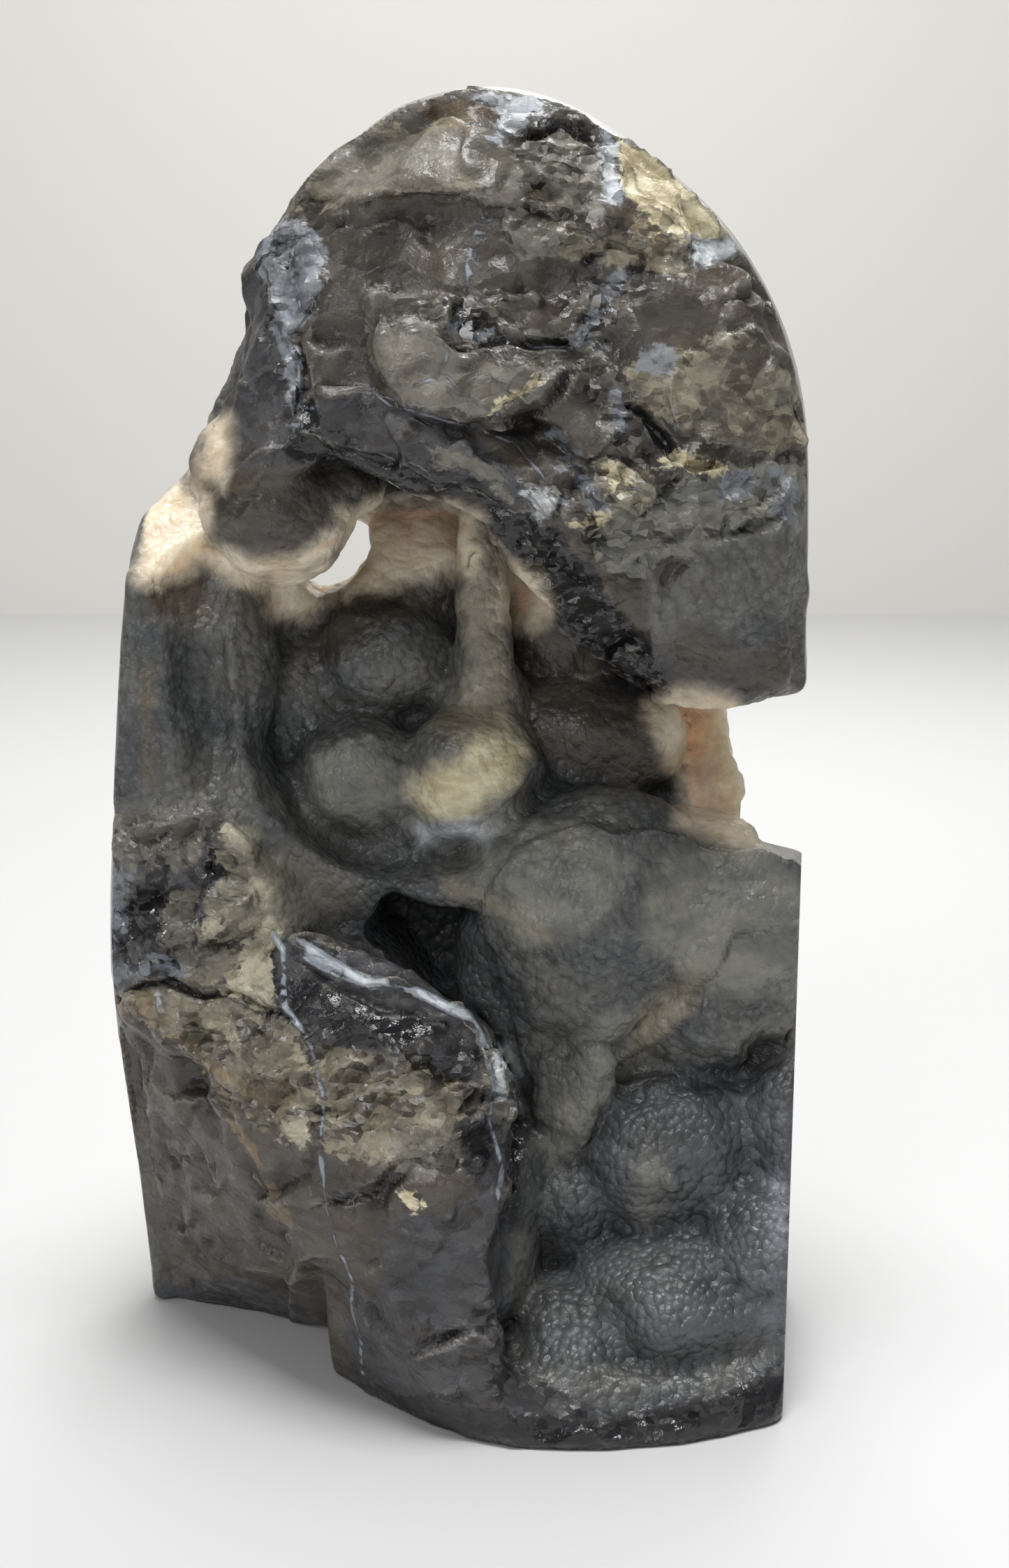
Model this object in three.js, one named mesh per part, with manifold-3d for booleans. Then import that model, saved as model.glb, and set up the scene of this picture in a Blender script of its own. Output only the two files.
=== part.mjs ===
// A tall agate freeform: one piece of chalcedony about 150 mm high, standing on a sawn base.
// The back is a polished dome that ends in an arched rim. The front is broken rock: a brow overhangs
// a cave lined with rounded lumps, a boulder fills the lower left and a lumpy shoulder the lower right.
// Frame: millimetres, X to the right, Y towards the polished back, Z up, origin on the sawn base.
import * as THREE from "three";
import { ConvexGeometry } from "three/addons/geometries/ConvexGeometry.js";
import { ImprovedNoise } from "three/addons/math/ImprovedNoise.js";
import { mergeVertices } from "three/addons/utils/BufferGeometryUtils.js";
import Module from "manifold-3d";

const wasm = await Module();
wasm.setup();

// ---- Driving dimensions ----
const HEIGHT = 150;
const RIM_FRONT = -4; // y where the rough rock starts
const RIM_FULL = 8; // y where the polished flank reaches the full outline
const RIM_INSET = 2; // how far the rim draws in between the two
const BACK = 30; // beyond the deepest point of the polished dome
const SAW = 200; // size of the block that cuts the base

// The polished back: part of an ellipsoid.
const DOME = { centre: [0, -6, 65], radii: [62, 30, 110] };

// ---- Solids ----
function solid(geometry) {
  const bare = geometry.clone();
  bare.deleteAttribute("normal");
  bare.deleteAttribute("uv");
  const merged = mergeVertices(bare, 1e-4);
  return new wasm.Manifold(
    new wasm.Mesh({
      numProp: 3,
      vertProperties: new Float32Array(merged.attributes.position.array),
      triVerts: new Uint32Array(merged.index.array),
    }),
  );
}

// An outline in the XZ plane, drawn as a shape's x and y. It is drawn in at its front rim.
function slabOf(shape) {
  const flank = RIM_FULL - RIM_FRONT;
  const geometry = new THREE.ExtrudeGeometry(shape, {
    depth: BACK - RIM_FULL,
    bevelThickness: flank,
    bevelSize: RIM_INSET,
    bevelOffset: -RIM_INSET,
    bevelSegments: 1,
    curveSegments: 3,
  });
  return solid(geometry.rotateX(Math.PI / 2).translate(0, BACK, 0));
}

// A broken piece of rock: the flat-faced hull of its corners.
function chunk(corners) {
  return solid(new ConvexGeometry(corners.map((corner) => new THREE.Vector3(...corner))));
}

// The hull of a face that is drawn at one depth and carried straight back to another.
function block(face, yBack) {
  return chunk([...face, ...face.map(([x, , z]) => [x, yBack, z])]);
}

// A rounded lump: an ellipsoid whose surface swells and sinks by a share of its radius.
const noise = new ImprovedNoise();
const SWELL_PITCH = 1.7;
function lump(centre, radii, { detail = 4, swell = 0.1, tilt = 0 } = {}) {
  const geometry = new THREE.IcosahedronGeometry(1, detail);
  const at = geometry.attributes.position;
  const point = new THREE.Vector3();
  const offset = new THREE.Vector3(...centre);
  for (let i = 0; i < at.count; i++) {
    point.fromBufferAttribute(at, i);
    const where = point.clone().multiplyScalar(SWELL_PITCH).add(offset);
    point.multiplyScalar(1 + swell * noise.noise(where.x, where.y, where.z));
    at.setXYZ(i, point.x, point.y, point.z);
  }
  geometry.scale(...radii);
  geometry.rotateY(THREE.MathUtils.degToRad(tilt));
  return solid(geometry.translate(...centre));
}

const join = (solids) => solids.reduce((sum, next) => sum.add(next));

// ---- Outline and polished back ----
const outline = new THREE.Shape();
outline.moveTo(43.4, 0);
outline.lineTo(43, 60);
outline.lineTo(42.6, 98);
outline.splineThru(
  [[41.9, 112], [39, 123], [33.5, 132.6], [26.6, 139.6], [17.5, 146], [10, 149.2], [3, HEIGHT],
    [-4, 148.6], [-9, 146], [-16.4, 139.6], [-22.2, 132.6], [-25, 121.6], [-28.6, 114], [-32.6, 106],
    [-37.4, 100.6], [-39.6, 92], [-41.9, 68], [-43.1, 50], [-42.4, 34], [-41, 18]]
    .map(([x, z]) => new THREE.Vector2(x, z)),
);
outline.lineTo(-39.6, 0);
outline.closePath();

const dome = solid(
  new THREE.SphereGeometry(1, 40, 24).scale(...DOME.radii).translate(...DOME.centre),
);
// Broken off below and above the left wall: the lower left slopes back, the shoulder is a thin plate.
const lowerLeftBreak = chunk([
  [-60, -40, 46], [-60, -4, 46], [-60, 9, -2], [-60, -40, -2],
  [-17, -40, 46], [-17, -4, 46], [-17, 2, -2], [-17, -40, -2],
]);
const shoulderBreak = chunk([
  [-60, -40, 97], [-60, 0, 96], [-60, 9, 103], [-60, 9, 118], [-60, -40, 118],
  [-26, -40, 97], [-26, 0, 96], [-26, 9, 103], [-26, 9, 118], [-26, -40, 118],
]);
const slab = slabOf(outline).intersect(dome).subtract(lowerLeftBreak).subtract(shoulderBreak);

// ---- Cave: hollows cut into the slab from the front ----
const cave = join([
  lump([-3, -8, 84], [27, 25, 26]),
  lump([-26.6, -12, 83], [8.6, 13.4, 20], { detail: 3 }),
  lump([-27.6, -7, 97], [8, 12, 11], { detail: 3 }),
  lump([24, -6, 72.6], [16.5, 24, 15]),
  lump([-5, -4, 98], [17, 20, 13]),
]);

// ---- Brow: broken rock that overhangs the cave ----
const browCore = join([
  block([[-21, -5, 111], [-22, -4, 122], [-20, -4, 131], [-12, -5, 137], [2, -6, 140], [12, -8, 136],
    [12, -10, 104], [6, -11, 104.5], [-5, -10, 108.5]], 6),
  block([[6, -9, 140], [20, -8, 137], [32, -6, 128], [38, -5, 117], [39.4, -5, 84], [24, -8, 84.5],
    [6, -10, 104]], 6),
]);
const crown = chunk([
  [-20, -1, 131], [-14.6, -2, 137.6], [-7, -3, 143.4], [2.5, -3.6, 146.6], [10, -4, 146.4],
  [17, -4, 142.8], [24.4, -4, 136.6], [30.6, -4, 129.6], [36, -4, 121], [-12, -9, 134.8],
  [-3, -11.4, 137.5], [9, -10.5, 138.5], [19.3, -10.4, 132.8], [27, -9.6, 125.5], [4, -9.6, 142],
  [-18, 6, 130], [0, 6, 146], [12, 6, 146], [28, 6, 132], [36, 6, 118],
]);
const browLeft = chunk([
  [-20.8, -8, 122.6], [-18.5, -7.5, 129.3], [-12.2, -10.5, 134], [8.8, -9.6, 136.5], [-16.7, -12.5, 115.9],
  [-9, -14.5, 113], [-7, -13.2, 124], [2, -12.6, 128], [4.3, -15, 116], [11.7, -12.6, 122.4], [-20, 4, 116],
  [-18, 4, 130], [12, 4, 134], [10, 4, 112], [-8, -3, 109],
]);
const flake = chunk([
  [-8.3, -14.6, 125.6], [-8.1, -15.4, 119], [-5.4, -17, 116.4], [1, -18, 112.5], [9.3, -16.2, 117.9],
  [6.5, -14.6, 121.5], [-1.5, -14, 125], [-9, -10, 127.5], [-9, -10, 114], [2, -11, 109], [12, -11, 116],
  [8, -10, 126],
]);
const browRight = chunk([
  [8.8, -10.5, 137], [19.3, -11, 131], [27.1, -10, 125.5], [33.5, -8.6, 116], [36.6, -5, 120.6],
  [39, -4.4, 110], [39.4, -4, 104.6], [21.7, -14, 112.9], [9, -13.4, 122.4], [8, -15.4, 115.6],
  [14, -15.4, 109.7],
  [34, -10, 106.5], [12, 4, 134], [10, 4, 106], [36, 6, 118], [38, 6, 103],
]);
const bandLeft = chunk([
  [-14.3, -13.5, 114.8], [-6.1, -15.8, 113], [0.6, -16.8, 110], [5.8, -16.6, 108.6], [-15.5, -11.5, 110],
  [-10.9, -11.5, 108.4], [-6.4, -12, 108.4], [-0.3, -13, 105.5], [3.5, -13, 102], [6, -13.6, 102.4],
  [-14, -3, 111], [-4, -4, 109.6], [5, -4, 104.5], [6, -2, 116], [-14, -2, 118],
]);
const bandRight = chunk([
  [0.6, -16, 110.2], [5.8, -16.6, 108.6], [11.9, -15.4, 101], [17.3, -14.2, 94.1], [22, -12.4, 90.2],
  [3.5, -13, 102], [8.9, -12.6, 95.6], [12, -12, 90], [16, -11, 86], [19.3, -9.4, 83.7], [23, -10, 84.5],
  [18, -15, 106], [24, -13.4, 98], [5, -4, 103.6], [13, -3.5, 91], [21, -2, 84], [20, -2, 112], [6, -8, 114],
]);
const cheek = join([
  chunk([
    [13, -14.8, 111], [27, -13.4, 106.5], [36, -8.8, 109], [39.6, -4.4, 105], [39.8, -4.4, 81.4],
    [37.6, -8.6, 98], [38.6, -7.4, 83.5], [31.8, -9, 86], [31, -6.6, 80], [23.4, -7.4, 80.4],
    [20, -12.4, 93], [27, -12.6, 97], [19, -2, 84], [24, 3, 80.8], [40, 5, 80.5], [40, 5, 108],
    [16, 4, 110],
  ]),
  lump([27, 0, 93], [14, 12, 12]),
]);
const pillar = chunk([
  [-20.8, -9.6, 122.6], [-23.4, -3, 122], [-25.2, -3, 115.8], [-16.7, -13.2, 116.2], [-14.4, -12.4, 108],
  [-22.5, -11.4, 105], [-27, -4.5, 106], [-19.6, -3, 131], [-17.6, -8.4, 129], [-21, 4, 128], [-24, 4, 114],
  [-12, 0, 118], [-12, 0, 110],
]);
const hangingLobe = join([
  lump([-20, -2.4, 103], [9.2, 9.6, 9.4], { detail: 4, tilt: 20, swell: 0.14 }),
  lump([-24.6, -0.5, 105.4], [5.4, 7, 8.6], { detail: 3 }),
  lump([-15, 0, 106], [7.4, 7, 5.4], { detail: 3 }),
]);
const brow = join([
  browCore, crown, browLeft, flake, browRight, bandLeft, bandRight, cheek, pillar, hangingLobe,
]);

// ---- Lumps that line the cave ----
const caveLumps = join([
  lump([-8.8, 14.6, 82.8], [9.4, 9.4, 8.8]),
  lump([-7, 21, 91.6], [16, 10.5, 12.4], { tilt: -24 }),
  lump([-26.4, 9, 80], [5.4, 8.4, 17], { detail: 3 }),
  lump([-19, 15, 74], [10, 9, 13]),
  lump([-11.8, 8.4, 68.2], [9.6, 9.4, 9.4]),
  lump([1.8, 7.4, 69.4], [10.4, 10.6, 9.4]),
  lump([-5, 14, 66], [16, 10, 12], { detail: 3 }),
  lump([3, 12, 77.4], [7, 8, 7]),
  lump([-2, 17, 78], [11, 8, 10]),
  lump([13.4, 19.6, 87], [9, 9, 13], { tilt: 10 }),
  lump([16, 14.4, 72.6], [13, 9.6, 9.4]),
  lump([9, 12, 64.6], [10, 10.6, 8.6]),
  lump([-6.4, 9, 61], [12.4, 9, 6.4]),
  lump([3.4, 8.4, 60], [9, 8.6, 6.4]),
]).intersect(dome);
const column = solid(
  new THREE.LatheGeometry(
    [[0, 72], [5.6, 74], [4.6, 77.5], [3.7, 80.5], [3.3, 88], [2.9, 96], [2.6, 104], [3.4, 110], [0, 111]]
      .map(([r, z]) => new THREE.Vector2(r, z)),
    14,
  ).rotateX(Math.PI / 2).translate(3.3, 8.5, 0),
);
// The shelf below the lumps, and the smooth plate that leads down from its left end.
const shelf = block([
  [-23, 3, 66], [-17, 2, 60.6], [-9.4, 1, 57.4], [-5, 1, 55], [-1, 0.8, 54.4], [2, 1, 53.8], [7, 1.6, 58],
  [4, 4, 66], [-14, 5, 70],
], 16);
const plate = chunk([
  [-23.4, -8, 62.6], [-19.2, -3, 61.4], [-11, 3.6, 54.6], [-20.9, -9.6, 54.8], [-14, -4, 53.6], [-22, 6, 62],
  [-12, 8, 54], [-22, 4, 46], [-10, 6, 44], [-20, -7, 46],
]);

// ---- Shoulder and lower right: lumps stepping down to the base ----
const shoulderCrustEdge = chunk(
  [-40, -3.4].flatMap((y) => [
    [29, y, 50.4], [24.4, y, 43.6], [17, y, 37.4], [17, y, 28], [40, y, 28], [40, y, 50],
  ]),
);
const shoulder = join([
  lump([16.6, 4, 52.6], [15.4, 14, 17], { tilt: 20 }).subtract(shoulderCrustEdge),
  lump([10.6, 5, 59.4], [10.6, 12, 8.6]),
  lump([33, 5.6, 50.6], [15, 13.8, 14.4]),
  lump([25.4, 4, 54], [9, 12, 10.6], { detail: 3 }),
  lump([24, 7, 57], [17, 12.6, 8.8]),
  lump([8.4, 7, 42], [8.4, 12, 15], { tilt: -12 }),
  lump([36, 6, 56.6], [11, 10, 6.4], { detail: 3 }),
  lump([31, 5, 42.4], [13.4, 13, 10]),
]).intersect(dome);
const lowerLumps = join([
  lump([25.4, -1.4, 24.4], [12.8, 12.6, 11.8], { detail: 5 }),
  lump([39.8, -2, 24], [6.8, 10.4, 13.4], { detail: 3 }),
  lump([26.6, -9, 8.6], [14, 15, 10]),
  lump([14, -12.4, 5], [9, 14.4, 7.8]),
  lump([37.4, -9, 13], [10, 12, 12], { detail: 3 }),
  lump([14.6, 0, 18], [10, 12, 10], { detail: 3 }),
  lump([30, 2, 24], [13, 12, 14], { detail: 3 }),
]);
const toe = chunk([
  [-14.7, -14, 0], [-10.4, -18, 0], [-7.9, -21, 0], [-4, -24.4, 0], [2, -28, 0], [6.6, -29.8, 0],
  [12.4, -30, 0], [18, -30, 0], [25.9, -29, 0], [37.5, -24.4, 0], [39.5, -14, 0], [38.6, -21.4, 6.6],
  [33, -24.4, 6.4], [24, -27, 4.6], [16, -28.8, 3], [11, -28.2, 5], [2, -27.4, 7], [40, 0, 9], [8, -14, 9],
  [-12, -6, 9], [40, 0, 0], [-16, 0, 0],
]);
// The strip of bare rock between the boulder and the shoulder.
const valleyRock = join([
  chunk([
    [7, -1, 43], [11, -4, 42], [18, -8, 39], [19.4, -8.8, 34.6], [14, -9, 27], [10.6, -5, 22],
    [5, -6, 20], [5, -4, 34], [6, 8, 44], [18, 8, 40], [5, 8, 18], [16, 8, 22],
  ]),
  chunk([
    [4, -10, 30], [10.6, -8, 28], [9.6, -13, 18], [6, -21, 10], [2, -23, 8], [2, -16, 24], [2, 0, 30],
    [12, 0, 28], [14, -4, 10], [2, 0, 6],
  ]),
]);

// ---- Boulder: the broken lower left ----
const boulderTop = chunk([
  [-22.2, -10.6, 54], [-19.9, -12, 55.2], [-13.5, -12.6, 54.6], [-7, -14.4, 52.2], [-2.1, -16, 49.2],
  [3.4, -18, 45.7], [5.8, -19.4, 41], [7.2, -20.4, 35.7], [-17.9, -18, 44.9], [-6.6, -22.4, 44],
  [0.4, -24.4, 39.6], [-24, -14, 44], [-21, -3, 54], [-8, -5, 47], [4, -8, 40], [6, -8, 34], [-24, -2, 40],
]);
const boulderFront = chunk([
  [-17.9, -18, 44.9], [-6.6, -22.6, 44], [0.4, -24.6, 40.5], [7, -20.6, 35.7], [6.6, -21, 27.2],
  [-11.1, -26, 34], [-1.8, -28.4, 30.8], [4.3, -27.6, 22.1], [-7.5, -26.4, 17.3], [-9.5, -21.4, 12.5],
  [-20.2, -17.6, 18], [-25.3, -14.6, 24.5], [-28.2, -15.4, 36.7], [-31.6, -11, 41.6], [-24, -14.6, 46],
  [-26, 0, 44], [5, -6, 36], [5, -6, 20], [-22, 0, 16],
]);
const boulderFoot = chunk([
  [-9.5, -21, 13], [-7.5, -26, 17.3], [4.3, -27.6, 22.1], [-14.6, -13.6, 0], [-10.4, -17.8, 0],
  [-4, -24, 0], [2, -28, 0], [-2, -28, 7.4], [6, -27, 8], [-14.4, -14, 7], [-15.6, -15, 13.6],
  [-15, -3, 0], [-16.6, -3, 14], [6, -8, 0], [6, -8, 20],
]);
const lowerLeft = chunk([
  [-42.2, 2, 44], [-41.2, 2, 33], [-40.2, 4.6, 20], [-38.8, 8, 2], [-38.4, 8.6, 0], [-34.9, 5, 0],
  [-26.9, 3.4, 0], [-19.9, 1.4, 0], [-16.4, -3, 0.4], [-15.6, -8, 8], [-15.4, -14.6, 14.6],
  [-20.2, -17.2, 18], [-25.3, -14, 24.5], [-33.4, -8.4, 34.3], [-40.6, -2, 42], [-28, -13.6, 37],
  [-32.7, -9.6, 42.1], [-38, 12, 0], [-14, 10, 0], [-14, 10, 44], [-41, 10, 44], [-24, -12, 45],
]);

// ---- Left rock: the broken rim between the cave and the boulder ----
const leftRock = join([
  chunk([
    [-40.8, -1, 66], [-36.2, -4.6, 68.4], [-29.3, -4.6, 68], [-24.4, -5.6, 66.4], [-38.4, -5.6, 60],
    [-39.4, -5.6, 50], [-42, -1, 46], [-42, 1, 56], [-30, -8.4, 59], [-29, -10.4, 50], [-20.9, -8.8, 55],
    [-23.6, -7, 62.6], [-40, 8, 66], [-40, 8, 44], [-20, 4, 64], [-20, 2, 44], [-33, -9.6, 45],
  ]),
  chunk([
    [-41.6, -1, 48], [-39, -6.6, 44], [-33, -10.6, 46], [-24, -13.6, 48.6], [-20, -12, 53], [-24, -14.4, 42],
    [-34, -9, 38], [-41.4, -1, 38], [-40, 8, 48], [-20, 4, 50], [-20, 4, 38], [-40, 8, 38],
  ]),
]);

// ---- Openings ----
const blackHollow = chunk([
  [-13, -24, 51], [-9.4, -24, 58.4], [-1, -24, 55.4], [5, -24, 55], [9, -24, 34], [-4, -24, 38],
  [-9, 11, 53], [-7, 11, 57], [1, 12, 55], [5, 12, 53], [7, 10, 40], [-3, 11, 44],
]);
const skylight = lump([-15, 16, 95.6], [5.6, 12, 4], { detail: 3, tilt: -40 });
// The bite through the right rim. Its floor falls away to the right, and to the back behind a crest.
const BITE_REACH = 40; // how far the cut runs in front of the stone and behind it
const CREST = 4; // y of the floor's crest
const biteTop = [[34.4, 80.4], [34, 77], [34.4, 72.4], [36, 67], [60, 66], [60, 86]];
const biteFront = [[36, 67.4], [35.4, 64.4], [36.6, 62.3], [60, 54.5], [60, 67.4]];
const biteRear = [[36, 67.4], [35.4, 64.4], [37, 50], [60, 42], [60, 67.4]];
const faceAt = (points, y) => points.map(([x, z]) => [x, y, z]);
const notch = join([
  chunk([...faceAt(biteTop, -BITE_REACH), ...faceAt(biteTop, BITE_REACH)]),
  chunk([...faceAt(biteFront, -BITE_REACH), ...faceAt(biteFront, CREST)]),
  chunk([...faceAt(biteFront, CREST), ...faceAt(biteRear, BITE_REACH)]),
]);
const base = solid(new THREE.BoxGeometry(SAW, SAW, SAW).translate(0, 0, -SAW / 2));
const flank = new THREE.Shape(
  [[43.4, 40], [43.4, 8], [41.2, -6], [39.2, -20], [37.6, -25], [34, -40], [80, -40], [80, 40]]
    .map(([x, y]) => new THREE.Vector2(x, y)),
);
const rightFlank = solid(
  new THREE.ExtrudeGeometry(flank, { depth: HEIGHT + 2, bevelEnabled: false }).translate(0, 0, -1),
);

const stone = slab
  .subtract(cave)
  .add(caveLumps)
  .add(column)
  .add(shelf)
  .subtract(blackHollow)
  .subtract(skylight)
  .add(shoulder)
  .add(lowerLumps)
  .add(toe)
  .add(valleyRock)
  .add(boulderTop)
  .add(boulderFront)
  .add(boulderFoot)
  .add(lowerLeft)
  .add(leftRock)
  .add(plate)
  .add(brow)
  .subtract(notch)
  .subtract(base)
  .subtract(rightFlank);

// ---- Mesh ----
const { numProp, vertProperties, triVerts } = stone.getMesh();
const geometry = new THREE.BufferGeometry();
const positions = new Float32Array((vertProperties.length / numProp) * 3);
for (let i = 0; i < positions.length / 3; i++)
  positions.set(vertProperties.subarray(i * numProp, i * numProp + 3), i * 3);
geometry.setAttribute("position", new THREE.BufferAttribute(positions, 3));
geometry.setIndex(new THREE.BufferAttribute(triVerts, 1));

const agate = new THREE.MeshStandardMaterial({ color: 0x55544f, roughness: 0.5, metalness: 0 });
const mesh = new THREE.Mesh(geometry, agate);
mesh.name = "agate_stone";

const group = new THREE.Group();
group.add(mesh);
export default group;
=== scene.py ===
import math

import bpy
import numpy as np
import openvdb
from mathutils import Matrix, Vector


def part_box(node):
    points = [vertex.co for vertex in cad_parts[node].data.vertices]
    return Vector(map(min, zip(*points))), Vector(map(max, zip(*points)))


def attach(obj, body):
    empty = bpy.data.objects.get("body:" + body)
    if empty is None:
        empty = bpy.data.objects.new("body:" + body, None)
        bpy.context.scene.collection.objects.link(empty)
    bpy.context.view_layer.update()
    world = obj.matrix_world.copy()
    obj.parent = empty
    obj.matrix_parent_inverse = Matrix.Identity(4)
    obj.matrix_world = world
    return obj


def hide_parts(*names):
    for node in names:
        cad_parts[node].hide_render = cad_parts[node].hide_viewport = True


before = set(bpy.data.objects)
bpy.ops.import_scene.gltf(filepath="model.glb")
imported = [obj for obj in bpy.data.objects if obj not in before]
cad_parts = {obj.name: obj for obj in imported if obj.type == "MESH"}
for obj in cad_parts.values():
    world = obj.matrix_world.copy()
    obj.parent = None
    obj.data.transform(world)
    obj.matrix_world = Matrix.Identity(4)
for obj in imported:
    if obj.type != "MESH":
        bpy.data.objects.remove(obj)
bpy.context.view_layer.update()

# Lengths in this script are millimetres in the frame's axes, unless a name says otherwise.
MM = 0.001
STONE = "agate_stone"
VOXEL = 0.42
BAND = 10  # voxels kept on each side of the surface
MARGIN = 3.0
TRIANGLES = 197000
LOW, HIGH = (np.array(corner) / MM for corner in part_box(STONE))

# ---- The photograph's camera ----
PHOTO_WIDTH, PHOTO_HEIGHT = 1445, 2246
FOCAL_PIXELS = 2700
PIXELS_PER_MM = 11.7
EYE = np.array([6.0, -220.4, 116.7])
PITCH = math.radians(12)  # looking down
SENSOR = 36.0


def in_photo(points):
    """The photograph's pixel of each point, as two arrays."""
    rel = points - EYE
    depth = rel[:, 1] * math.cos(PITCH) - rel[:, 2] * math.sin(PITCH)
    up = rel[:, 1] * math.sin(PITCH) + rel[:, 2] * math.cos(PITCH)
    return PHOTO_WIDTH / 2 + FOCAL_PIXELS * rel[:, 0] / depth, PHOTO_HEIGHT / 2 - FOCAL_PIXELS * up / depth


# ---- Noise ----
def smooth(t):
    t = np.clip(t, 0, 1)
    return t * t * (3 - 2 * t)


def ramp(value, start, end):
    """0 at start, 1 at end, smooth between."""
    return smooth((value - start) / (end - start))


def scramble(cells, seed):
    """A pseudo-random 32-bit number for each whole-number cell."""
    c = cells.astype(np.int64)
    h = (c[..., 0] * 73856093) ^ (c[..., 1] * 19349663) ^ (c[..., 2] * 83492791) ^ (seed * 2654435761)
    h = (h & 0xFFFFFFFF).astype(np.uint64)
    for shift, factor in ((15, 0x2C1B3C6D), (12, 0x297A2D39)):
        h = ((h ^ (h >> np.uint64(shift))) * np.uint64(factor)) & np.uint64(0xFFFFFFFF)
    return (h ^ (h >> np.uint64(15))).astype(np.uint32)


def draws(cells, seed, count=3):
    """count numbers from 0 to 1 for each cell."""
    return np.stack([scramble(cells, seed + 101 * k) / 4294967296.0 for k in range(count)], -1)


def corner_shares(t):
    """Each corner of a unit cell, and its share in a blend at the places t in the cell."""
    for corner in np.ndindex(2, 2, 2):
        c = np.array(corner)
        yield c, np.prod(np.where(c == 1, t, 1 - t), -1)


def nearby_cells(p, seed):
    """Each of the 27 cells around the points, and the points seen from its random centre."""
    base = np.floor(p)
    for corner in np.ndindex(3, 3, 3):
        cell = base + np.array(corner) - 1
        yield cell, p - cell - draws(cell, seed)


def waves(points, size, seed, octaves=1, rough=0.5):
    """Smooth noise from about -1 to 1."""
    total, weight = np.zeros(len(points)), 1.0
    for octave in range(octaves):
        p = points / (size / 2**octave) + 13.7 * octave
        cell = np.floor(p)
        t = smooth(p - cell)
        value = np.zeros(len(points))
        for corner, share in corner_shares(t):
            value += share * (scramble(cell + corner, seed + octave) / 2147483648.0 - 1)
        total += weight * value
        weight *= rough
    return total * 1.5


def warp(points, size, reach, seed):
    return points + reach * np.stack([waves(points, size, seed + 7 * k) for k in range(3)], -1)


def facets(points, size, seed, tilt, step, edge=0.7):
    """Broken faces, each a tilted plane, that meet over edges so many mm wide."""
    sharp = 1.15 * size / edge
    p = warp(points, size * 0.8, size * 0.22, seed + 50)
    total = np.zeros(len(p))
    height = np.zeros(len(p))
    for cell, away in nearby_cells(p / size, seed):
        d2 = np.sum(away * away, -1)
        own = draws(cell, seed + 9, 4)
        plane = np.sum((own[:, :3] - 0.5) * 2 * tilt * away, -1) + (own[:, 3] - 0.5) * 2 * step
        weight = np.exp(-sharp * d2)
        total += weight
        height += weight * plane
    return height / total * size


def scars(points, size, seed, hollow, tilt, step=0.05):
    """Shallow bowls left by flakes, meeting at sharp ridges."""
    p = warp(points, size * 0.9, size * 0.25, seed + 50) / size
    height = np.full(len(p), 9.0)
    for cell, away in nearby_cells(p, seed):
        own = draws(cell, seed + 9, 4)
        bowl = hollow * np.sum(away * away, -1) + tilt * np.sum((own[:, :3] - 0.5) * 2 * away, -1)
        bowl += (own[:, 3] - 0.5) * 2 * step
        height = np.minimum(height, bowl)
    return (height - 0.3 * hollow) * size


def grains(points, size, seed):
    """Round bumps packed side by side: 0 in the creases, up to about 1 on top."""
    first = np.full(len(points), 9.0)
    for _, away in nearby_cells(points / size, seed):
        first = np.minimum(first, np.sum(away * away, -1))
    return np.clip(1 - first / 0.55, 0, 1)


# ---- From the solid to a fine level set and back ----
def solid_of(node):
    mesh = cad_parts[node].data
    mesh.calc_loop_triangles()
    points = np.empty(len(mesh.vertices) * 3, np.float32)
    mesh.vertices.foreach_get("co", points)
    triangles = np.empty(len(mesh.loop_triangles) * 3, np.int32)
    mesh.loop_triangles.foreach_get("vertices", triangles)
    return points.reshape(-1, 3) / MM, triangles.reshape(-1, 3).astype(np.uint32)


grid_low = LOW - MARGIN
grid_count = np.ceil((HIGH + MARGIN - grid_low) / VOXEL).astype(int)
grid_x, grid_y, grid_z = np.meshgrid(
    *[(grid_low[k] + VOXEL * np.arange(grid_count[k])).astype(np.float32) for k in range(3)],
    indexing="ij", sparse=True,
)


def distance_field(node):
    """The signed distance to the node's surface at every grid point, negative inside."""
    points, triangles = solid_of(node)
    grid = openvdb.FloatGrid.createLevelSetFromPolygons(
        np.ascontiguousarray(points - grid_low, dtype=np.float32), triangles=triangles,
        transform=openvdb.createLinearTransform(voxelSize=VOXEL), halfWidth=BAND,
    )
    field = np.full(grid_count, BAND * VOXEL, np.float32)
    grid.copyToArray(field)
    return field


def blurred(field, radius):
    """Two box blurs along each axis: close to a Gaussian."""
    half = max(1, round(radius / VOXEL))
    for axis in (0, 1, 2):
        for _ in range(2):
            pad = [(0, 0)] * 3
            pad[axis] = (half + 1, half)
            padded = np.pad(field, pad, mode="edge")
            total = np.cumsum(padded, axis=axis, dtype=np.float64).astype(np.float32)
            size = field.shape[axis]
            upper = np.take(total, range(2 * half + 1, 2 * half + 1 + size), axis=axis)
            lower = np.take(total, range(size), axis=axis)
            field = (upper - lower) / (2 * half + 1)
    return field


def surface_of(field):
    grid = openvdb.FloatGrid(BAND * VOXEL)
    grid.copyFromArray(np.ascontiguousarray(field))
    grid.transform = openvdb.createLinearTransform(voxelSize=VOXEL)
    points, triangles, quads = grid.convertToPolygons(isovalue=0.0, adaptivity=0.0)
    halves = np.concatenate([quads[:, [0, 1, 2]], quads[:, [0, 2, 3]], triangles])
    return (points + grid_low).astype(np.float64), halves


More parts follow.
